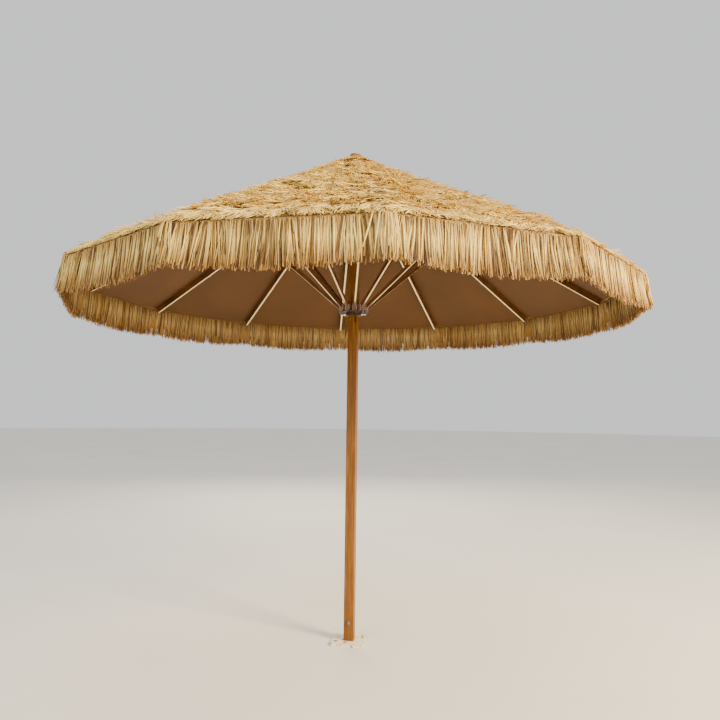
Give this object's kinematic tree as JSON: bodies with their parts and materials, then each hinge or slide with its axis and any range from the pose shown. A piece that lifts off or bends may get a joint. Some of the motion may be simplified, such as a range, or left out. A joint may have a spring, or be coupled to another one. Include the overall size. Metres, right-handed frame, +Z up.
{
  "type": "beach umbrella",
  "caption": "Thatched beach umbrella: square mast with a bolt-down base plate, sliding runner, folding ribs and a straw canopy with a hanging fringe.",
  "frame": {"origin": "middle of the base plate's underside, on the mast's axis", "axes": "+Z up the mast; X and Y square to the mast's faces and the base plate's sides; ribs at 15 degrees from X and every 30 degrees on"},
  "size_m": [3.2456, 3.2456, 3.014],
  "materials": {
    "base_plate": "matte",
    "spigot_steel": "satin",
    "bolt_steel": "satin",
    "mast_wood_finish": "satin",
    "hub_metal": "satin",
    "knob_metal": "polished",
    "cap": "matte",
    "rib_metal": "satin",
    "thatch": "matte",
    "fringe_straw": "matte"
  },
  "bodies": {
    "stand": {"base_plate": "base_plate", "base_spigot": "spigot_steel", "foot_bolt": "bolt_steel", "mast": "mast_wood_finish", "crown": "hub_metal", "crown_pins": "bolt_steel", "top_cap": "cap", "peak_thatch": "thatch"},
    "runner": {"runner": "hub_metal", "runner_clevises": "hub_metal"},
    "knob_left": {"clamp_knob_left": "knob_metal"},
    "knob_right": {"clamp_knob_right": "knob_metal"},
    "rib_01": {"rib_01": "rib_metal", "canopy_01": "thatch"},
    "stretcher_01": {"stretcher_01": "rib_metal"},
    "fringe_01": {"fringe_01": "fringe_straw"},
    "rib_02": {"rib_02": "rib_metal", "canopy_02": "thatch"},
    "stretcher_02": {"stretcher_02": "rib_metal"},
    "fringe_02": {"fringe_02": "fringe_straw"},
    "rib_03": {"rib_03": "rib_metal", "canopy_03": "thatch"},
    "stretcher_03": {"stretcher_03": "rib_metal"},
    "fringe_03": {"fringe_03": "fringe_straw"},
    "rib_04": {"rib_04": "rib_metal", "canopy_04": "thatch"},
    "stretcher_04": {"stretcher_04": "rib_metal"},
    "fringe_04": {"fringe_04": "fringe_straw"},
    "rib_05": {"rib_05": "rib_metal", "canopy_05": "thatch"},
    "stretcher_05": {"stretcher_05": "rib_metal"},
    "fringe_05": {"fringe_05": "fringe_straw"},
    "rib_06": {"rib_06": "rib_metal", "canopy_06": "thatch"},
    "stretcher_06": {"stretcher_06": "rib_metal"},
    "fringe_06": {"fringe_06": "fringe_straw"},
    "rib_07": {"rib_07": "rib_metal", "canopy_07": "thatch"},
    "stretcher_07": {"stretcher_07": "rib_metal"},
    "fringe_07": {"fringe_07": "fringe_straw"},
    "rib_08": {"rib_08": "rib_metal", "canopy_08": "thatch"},
    "stretcher_08": {"stretcher_08": "rib_metal"},
    "fringe_08": {"fringe_08": "fringe_straw"},
    "rib_09": {"rib_09": "rib_metal", "canopy_09": "thatch"},
    "stretcher_09": {"stretcher_09": "rib_metal"},
    "fringe_09": {"fringe_09": "fringe_straw"},
    "rib_10": {"rib_10": "rib_metal", "canopy_10": "thatch"},
    "stretcher_10": {"stretcher_10": "rib_metal"},
    "fringe_10": {"fringe_10": "fringe_straw"},
    "rib_11": {"rib_11": "rib_metal", "canopy_11": "thatch"},
    "stretcher_11": {"stretcher_11": "rib_metal"},
    "fringe_11": {"fringe_11": "fringe_straw"},
    "rib_12": {"rib_12": "rib_metal", "canopy_12": "thatch"},
    "stretcher_12": {"stretcher_12": "rib_metal"},
    "fringe_12": {"fringe_12": "fringe_straw"}
  },
  "joints": [
    {"name": "runner_slide", "type": "slide", "parent": "stand", "child": "runner", "axis": [0, 0, -1], "range_m": [0, 0.6379]},
    {"name": "knob_left_turn", "type": "hinge", "parent": "runner", "child": "knob_left", "pos_m": [-0.066, 0, 1.98], "axis": [-1, 0, 0], "range_deg": [0, 360]},
    {"name": "knob_right_turn", "type": "hinge", "parent": "runner", "child": "knob_right", "pos_m": [0.066, 0, 1.98], "axis": [1, 0, 0], "range_deg": [0, 360]},
    {"name": "rib_01_hinge", "type": "hinge", "parent": "stand", "child": "rib_01", "pos_m": [0.07727, 0.02071, 2.892], "axis": [-0.2588, 0.9659, 0], "range_deg": [0, 56.57], "deforming": ["canopy_01"]},
    {"name": "stretcher_01_hinge", "type": "hinge", "parent": "rib_01", "child": "stretcher_01", "pos_m": [0.67196, 0.18005, 2.53483], "axis": [-0.2588, 0.9659, 0], "range_deg": [-103.41, 0]},
    {"name": "fringe_01_hinge", "type": "hinge", "parent": "rib_01", "child": "fringe_01", "pos_m": [1.59861, 0.42835, 2.106], "axis": [-0.2588, 0.9659, 0], "range_deg": [-56.57, 0], "deforming": ["fringe_01"]},
    {"name": "rib_02_hinge", "type": "hinge", "parent": "stand", "child": "rib_02", "pos_m": [0.05657, 0.05657, 2.892], "axis": [-0.7071, 0.7071, 0], "range_deg": [0, 56.57], "deforming": ["canopy_02"]},
    {"name": "stretcher_02_hinge", "type": "hinge", "parent": "rib_02", "child": "stretcher_02", "pos_m": [0.49191, 0.49191, 2.53483], "axis": [-0.7071, 0.7071, 0], "range_deg": [-103.41, 0]},
    {"name": "fringe_02_hinge", "type": "hinge", "parent": "rib_02", "child": "fringe_02", "pos_m": [1.17026, 1.17026, 2.106], "axis": [-0.7071, 0.7071, 0], "range_deg": [-56.57, 0], "deforming": ["fringe_02"]},
    {"name": "rib_03_hinge", "type": "hinge", "parent": "stand", "child": "rib_03", "pos_m": [0.02071, 0.07727, 2.892], "axis": [-0.9659, 0.2588, 0], "range_deg": [0, 56.57], "deforming": ["canopy_03"]},
    {"name": "stretcher_03_hinge", "type": "hinge", "parent": "rib_03", "child": "stretcher_03", "pos_m": [0.18005, 0.67196, 2.53483], "axis": [-0.9659, 0.2588, 0], "range_deg": [-103.41, 0]},
    {"name": "fringe_03_hinge", "type": "hinge", "parent": "rib_03", "child": "fringe_03", "pos_m": [0.42835, 1.59861, 2.106], "axis": [-0.9659, 0.2588, 0], "range_deg": [-56.57, 0], "deforming": ["fringe_03"]},
    {"name": "rib_04_hinge", "type": "hinge", "parent": "stand", "child": "rib_04", "pos_m": [-0.02071, 0.07727, 2.892], "axis": [-0.9659, -0.2588, 0], "range_deg": [0, 56.57], "deforming": ["canopy_04"]},
    {"name": "stretcher_04_hinge", "type": "hinge", "parent": "rib_04", "child": "stretcher_04", "pos_m": [-0.18005, 0.67196, 2.53483], "axis": [-0.9659, -0.2588, 0], "range_deg": [-103.41, 0]},
    {"name": "fringe_04_hinge", "type": "hinge", "parent": "rib_04", "child": "fringe_04", "pos_m": [-0.42835, 1.59861, 2.106], "axis": [-0.9659, -0.2588, 0], "range_deg": [-56.57, 0], "deforming": ["fringe_04"]},
    {"name": "rib_05_hinge", "type": "hinge", "parent": "stand", "child": "rib_05", "pos_m": [-0.05657, 0.05657, 2.892], "axis": [-0.7071, -0.7071, 0], "range_deg": [0, 56.57], "deforming": ["canopy_05"]},
    {"name": "stretcher_05_hinge", "type": "hinge", "parent": "rib_05", "child": "stretcher_05", "pos_m": [-0.49191, 0.49191, 2.53483], "axis": [-0.7071, -0.7071, 0], "range_deg": [-103.41, 0]},
    {"name": "fringe_05_hinge", "type": "hinge", "parent": "rib_05", "child": "fringe_05", "pos_m": [-1.17026, 1.17026, 2.106], "axis": [-0.7071, -0.7071, 0], "range_deg": [-56.57, 0], "deforming": ["fringe_05"]},
    {"name": "rib_06_hinge", "type": "hinge", "parent": "stand", "child": "rib_06", "pos_m": [-0.07727, 0.02071, 2.892], "axis": [-0.2588, -0.9659, 0], "range_deg": [0, 56.57], "deforming": ["canopy_06"]},
    {"name": "stretcher_06_hinge", "type": "hinge", "parent": "rib_06", "child": "stretcher_06", "pos_m": [-0.67196, 0.18005, 2.53483], "axis": [-0.2588, -0.9659, 0], "range_deg": [-103.41, 0]},
    {"name": "fringe_06_hinge", "type": "hinge", "parent": "rib_06", "child": "fringe_06", "pos_m": [-1.59861, 0.42835, 2.106], "axis": [-0.2588, -0.9659, 0], "range_deg": [-56.57, 0], "deforming": ["fringe_06"]},
    {"name": "rib_07_hinge", "type": "hinge", "parent": "stand", "child": "rib_07", "pos_m": [-0.07727, -0.02071, 2.892], "axis": [0.2588, -0.9659, 0], "range_deg": [0, 56.57], "deforming": ["canopy_07"]},
    {"name": "stretcher_07_hinge", "type": "hinge", "parent": "rib_07", "child": "stretcher_07", "pos_m": [-0.67196, -0.18005, 2.53483], "axis": [0.2588, -0.9659, 0], "range_deg": [-103.41, 0]},
    {"name": "fringe_07_hinge", "type": "hinge", "parent": "rib_07", "child": "fringe_07", "pos_m": [-1.59861, -0.42835, 2.106], "axis": [0.2588, -0.9659, 0], "range_deg": [-56.57, 0], "deforming": ["fringe_07"]},
    {"name": "rib_08_hinge", "type": "hinge", "parent": "stand", "child": "rib_08", "pos_m": [-0.05657, -0.05657, 2.892], "axis": [0.7071, -0.7071, 0], "range_deg": [0, 56.57], "deforming": ["canopy_08"]},
    {"name": "stretcher_08_hinge", "type": "hinge", "parent": "rib_08", "child": "stretcher_08", "pos_m": [-0.49191, -0.49191, 2.53483], "axis": [0.7071, -0.7071, 0], "range_deg": [-103.41, 0]},
    {"name": "fringe_08_hinge", "type": "hinge", "parent": "rib_08", "child": "fringe_08", "pos_m": [-1.17026, -1.17026, 2.106], "axis": [0.7071, -0.7071, 0], "range_deg": [-56.57, 0], "deforming": ["fringe_08"]},
    {"name": "rib_09_hinge", "type": "hinge", "parent": "stand", "child": "rib_09", "pos_m": [-0.02071, -0.07727, 2.892], "axis": [0.9659, -0.2588, 0], "range_deg": [0, 56.57], "deforming": ["canopy_09"]},
    {"name": "stretcher_09_hinge", "type": "hinge", "parent": "rib_09", "child": "stretcher_09", "pos_m": [-0.18005, -0.67196, 2.53483], "axis": [0.9659, -0.2588, 0], "range_deg": [-103.41, 0]},
    {"name": "fringe_09_hinge", "type": "hinge", "parent": "rib_09", "child": "fringe_09", "pos_m": [-0.42835, -1.59861, 2.106], "axis": [0.9659, -0.2588, 0], "range_deg": [-56.57, 0], "deforming": ["fringe_09"]},
    {"name": "rib_10_hinge", "type": "hinge", "parent": "stand", "child": "rib_10", "pos_m": [0.02071, -0.07727, 2.892], "axis": [0.9659, 0.2588, 0], "range_deg": [0, 56.57], "deforming": ["canopy_10"]},
    {"name": "stretcher_10_hinge", "type": "hinge", "parent": "rib_10", "child": "stretcher_10", "pos_m": [0.18005, -0.67196, 2.53483], "axis": [0.9659, 0.2588, 0], "range_deg": [-103.41, 0]},
    {"name": "fringe_10_hinge", "type": "hinge", "parent": "rib_10", "child": "fringe_10", "pos_m": [0.42835, -1.59861, 2.106], "axis": [0.9659, 0.2588, 0], "range_deg": [-56.57, 0], "deforming": ["fringe_10"]},
    {"name": "rib_11_hinge", "type": "hinge", "parent": "stand", "child": "rib_11", "pos_m": [0.05657, -0.05657, 2.892], "axis": [0.7071, 0.7071, 0], "range_deg": [0, 56.57], "deforming": ["canopy_11"]},
    {"name": "stretcher_11_hinge", "type": "hinge", "parent": "rib_11", "child": "stretcher_11", "pos_m": [0.49191, -0.49191, 2.53483], "axis": [0.7071, 0.7071, 0], "range_deg": [-103.41, 0]},
    {"name": "fringe_11_hinge", "type": "hinge", "parent": "rib_11", "child": "fringe_11", "pos_m": [1.17026, -1.17026, 2.106], "axis": [0.7071, 0.7071, 0], "range_deg": [-56.57, 0], "deforming": ["fringe_11"]},
    {"name": "rib_12_hinge", "type": "hinge", "parent": "stand", "child": "rib_12", "pos_m": [0.07727, -0.02071, 2.892], "axis": [0.2588, 0.9659, 0], "range_deg": [0, 56.57], "deforming": ["canopy_12"]},
    {"name": "stretcher_12_hinge", "type": "hinge", "parent": "rib_12", "child": "stretcher_12", "pos_m": [0.67196, -0.18005, 2.53483], "axis": [0.2588, 0.9659, 0], "range_deg": [-103.41, 0]},
    {"name": "fringe_12_hinge", "type": "hinge", "parent": "rib_12", "child": "fringe_12", "pos_m": [1.59861, -0.42835, 2.106], "axis": [0.2588, 0.9659, 0], "range_deg": [-56.57, 0], "deforming": ["fringe_12"]}
  ],
  "couplings": [
    {"joint": "rib_01_hinge", "follows": "runner_slide", "rad_per_m": 1.5469},
    {"joint": "stretcher_01_hinge", "follows": "runner_slide", "rad_per_m": -2.8279},
    {"joint": "fringe_01_hinge", "follows": "runner_slide", "rad_per_m": -1.5469},
    {"joint": "rib_02_hinge", "follows": "runner_slide", "rad_per_m": 1.5469},
    {"joint": "stretcher_02_hinge", "follows": "runner_slide", "rad_per_m": -2.8279},
    {"joint": "fringe_02_hinge", "follows": "runner_slide", "rad_per_m": -1.5469},
    {"joint": "rib_03_hinge", "follows": "runner_slide", "rad_per_m": 1.5469},
    {"joint": "stretcher_03_hinge", "follows": "runner_slide", "rad_per_m": -2.8279},
    {"joint": "fringe_03_hinge", "follows": "runner_slide", "rad_per_m": -1.5469},
    {"joint": "rib_04_hinge", "follows": "runner_slide", "rad_per_m": 1.5469},
    {"joint": "stretcher_04_hinge", "follows": "runner_slide", "rad_per_m": -2.8279},
    {"joint": "fringe_04_hinge", "follows": "runner_slide", "rad_per_m": -1.5469},
    {"joint": "rib_05_hinge", "follows": "runner_slide", "rad_per_m": 1.5469},
    {"joint": "stretcher_05_hinge", "follows": "runner_slide", "rad_per_m": -2.8279},
    {"joint": "fringe_05_hinge", "follows": "runner_slide", "rad_per_m": -1.5469},
    {"joint": "rib_06_hinge", "follows": "runner_slide", "rad_per_m": 1.5469},
    {"joint": "stretcher_06_hinge", "follows": "runner_slide", "rad_per_m": -2.8279},
    {"joint": "fringe_06_hinge", "follows": "runner_slide", "rad_per_m": -1.5469},
    {"joint": "rib_07_hinge", "follows": "runner_slide", "rad_per_m": 1.5469},
    {"joint": "stretcher_07_hinge", "follows": "runner_slide", "rad_per_m": -2.8279},
    {"joint": "fringe_07_hinge", "follows": "runner_slide", "rad_per_m": -1.5469},
    {"joint": "rib_08_hinge", "follows": "runner_slide", "rad_per_m": 1.5469},
    {"joint": "stretcher_08_hinge", "follows": "runner_slide", "rad_per_m": -2.8279},
    {"joint": "fringe_08_hinge", "follows": "runner_slide", "rad_per_m": -1.5469},
    {"joint": "rib_09_hinge", "follows": "runner_slide", "rad_per_m": 1.5469},
    {"joint": "stretcher_09_hinge", "follows": "runner_slide", "rad_per_m": -2.8279},
    {"joint": "fringe_09_hinge", "follows": "runner_slide", "rad_per_m": -1.5469},
    {"joint": "rib_10_hinge", "follows": "runner_slide", "rad_per_m": 1.5469},
    {"joint": "stretcher_10_hinge", "follows": "runner_slide", "rad_per_m": -2.8279},
    {"joint": "fringe_10_hinge", "follows": "runner_slide", "rad_per_m": -1.5469},
    {"joint": "rib_11_hinge", "follows": "runner_slide", "rad_per_m": 1.5469},
    {"joint": "stretcher_11_hinge", "follows": "runner_slide", "rad_per_m": -2.8279},
    {"joint": "fringe_11_hinge", "follows": "runner_slide", "rad_per_m": -1.5469},
    {"joint": "rib_12_hinge", "follows": "runner_slide", "rad_per_m": 1.5469},
    {"joint": "stretcher_12_hinge", "follows": "runner_slide", "rad_per_m": -2.8279},
    {"joint": "fringe_12_hinge", "follows": "runner_slide", "rad_per_m": -1.5469}
  ]
}
